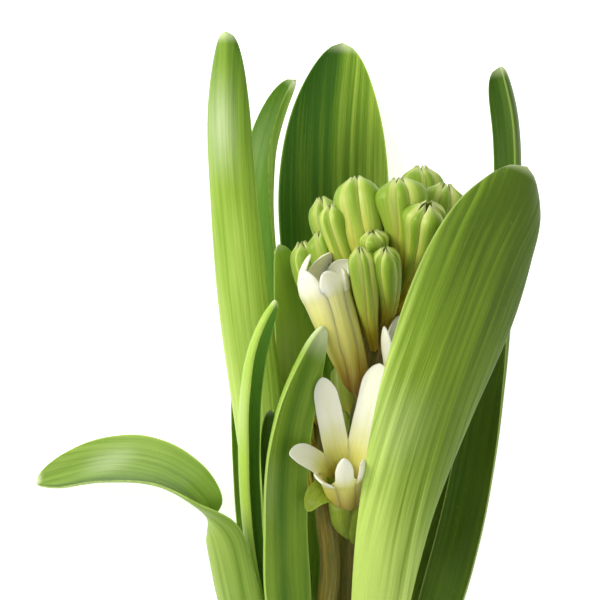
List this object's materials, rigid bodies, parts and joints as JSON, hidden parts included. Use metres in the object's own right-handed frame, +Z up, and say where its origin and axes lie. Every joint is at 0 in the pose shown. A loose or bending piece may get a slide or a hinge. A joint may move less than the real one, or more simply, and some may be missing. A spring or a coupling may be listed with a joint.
{
  "type": "cut hyacinth",
  "caption": "Cut hyacinth lying on its back leaves: strap leaves round an upright raceme of white florets and green buds, with a young second raceme beside it.",
  "frame": {"origin": "on the surface the plant lies on, below the centre of its bounds", "axes": "+Y along the plant from the cut end to the leaf tips; +Z up from the surface, out of the face that shows the florets; +X to the right of that face"},
  "size_m": [0.1114, 0.1782, 0.0561],
  "materials": {
    "leaf_green": "satin, waxy",
    "scape_green": "satin",
    "bud_green": "satin, waxy",
    "petal_white": "matt, fleshy"
  },
  "bodies": {
    "root": {"bud_back_01": "bud_green", "bud_back_02": "bud_green", "bud_back_03": "bud_green", "bud_back_04": "bud_green", "bud_back_05": "bud_green", "bud_back_06": "bud_green", "bud_back_07": "bud_green", "bud_back_08": "bud_green", "bud_back_09": "bud_green", "bud_back_10": "bud_green", "bud_back_11": "bud_green", "bud_crown_back": "bud_green", "bud_crown_left": "bud_green", "bud_crown_middle": "bud_green", "bud_crown_right": "bud_green", "bud_green_front": "bud_green", "bud_left_back": "bud_green", "bud_left_high": "bud_green", "bud_left_low": "bud_green", "bud_left_middle": "bud_green", "bud_left_under": "bud_green", "bud_long_front": "bud_green", "bud_right_edge": "bud_green", "bud_right_front": "bud_green", "bud_small_open": "bud_green", "bud_young_01": "bud_green", "bud_young_02": "bud_green", "bud_young_03": "bud_green", "bud_young_04": "bud_green", "bud_young_05": "bud_green", "bud_young_06": "bud_green", "floret_half_open": "petal_white", "floret_open": "petal_white", "floret_right": "petal_white", "leaf_back_broad": "leaf_green", "leaf_bent_left": "leaf_green", "leaf_folded_left": "leaf_green", "leaf_front_channel": "leaf_green", "leaf_inner_left": "leaf_green", "leaf_right_back": "leaf_green", "leaf_right_front": "leaf_green", "leaf_right_low": "leaf_green", "leaf_right_under": "leaf_green", "leaf_small_left": "leaf_green", "leaf_tall_left": "leaf_green", "leaf_young_left": "leaf_green", "scape_main": "scape_green", "scape_young": "scape_green"}
  },
  "joints": []
}
